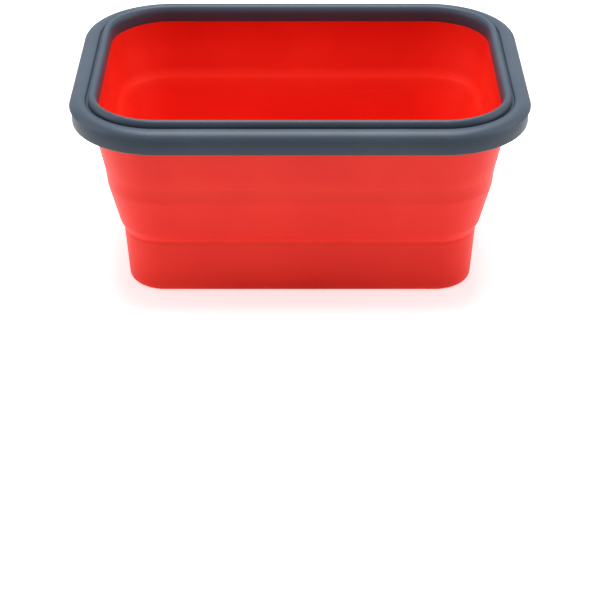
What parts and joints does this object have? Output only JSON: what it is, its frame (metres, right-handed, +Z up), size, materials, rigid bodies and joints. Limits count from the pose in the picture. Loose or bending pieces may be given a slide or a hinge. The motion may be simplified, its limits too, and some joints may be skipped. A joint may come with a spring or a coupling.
{
  "type": "collapsible storage crate",
  "caption": "Rectangular open crate with a folding silicone body hung in a rigid two-part rim; the rim pushes down over the tub to store flat.",
  "frame": {"origin": "centre of the foot's underside, on the surface the crate stands on", "axes": "+X along the crate's length, +Y across its width, +Z up out of its mouth"},
  "size_m": [0.304, 0.228, 0.1375],
  "materials": {
    "rim_plastic": "satin moulded",
    "silicone": "satin moulded"
  },
  "bodies": {
    "base": {"tub_floor": "silicone", "tub_wall": "silicone"},
    "rim": {"rim_top_ring": "rim_plastic", "rim_clamp_ring": "rim_plastic", "body_flange": "silicone", "upper_band": "silicone"},
    "strip_1": {"fold_strip_1": "silicone"},
    "strip_2": {"fold_strip_2": "silicone"},
    "strip_3": {"fold_strip_3": "silicone"},
    "strip_4": {"fold_strip_4": "silicone"},
    "strip_5": {"fold_strip_5": "silicone"}
  },
  "joints": [
    {"name": "collapse", "type": "slide", "parent": "base", "child": "rim", "axis": [0, 0, -1], "range_m": [0, 0.08]},
    {"name": "strip_1_follow", "type": "slide", "parent": "base", "child": "strip_1", "axis": [0, 0, -1], "range_m": [0, 0.0064]},
    {"name": "strip_2_follow", "type": "slide", "parent": "base", "child": "strip_2", "axis": [0, 0, -1], "range_m": [0, 0.0216]},
    {"name": "strip_3_follow", "type": "slide", "parent": "base", "child": "strip_3", "axis": [0, 0, -1], "range_m": [0, 0.04]},
    {"name": "strip_4_follow", "type": "slide", "parent": "base", "child": "strip_4", "axis": [0, 0, -1], "range_m": [0, 0.0584]},
    {"name": "strip_5_follow", "type": "slide", "parent": "base", "child": "strip_5", "axis": [0, 0, -1], "range_m": [0, 0.0736]}
  ],
  "couplings": [
    {"joint": "strip_1_follow", "follows": "collapse", "ratio": 0.08},
    {"joint": "strip_2_follow", "follows": "collapse", "ratio": 0.27},
    {"joint": "strip_3_follow", "follows": "collapse", "ratio": 0.5},
    {"joint": "strip_4_follow", "follows": "collapse", "ratio": 0.73},
    {"joint": "strip_5_follow", "follows": "collapse", "ratio": 0.92}
  ]
}
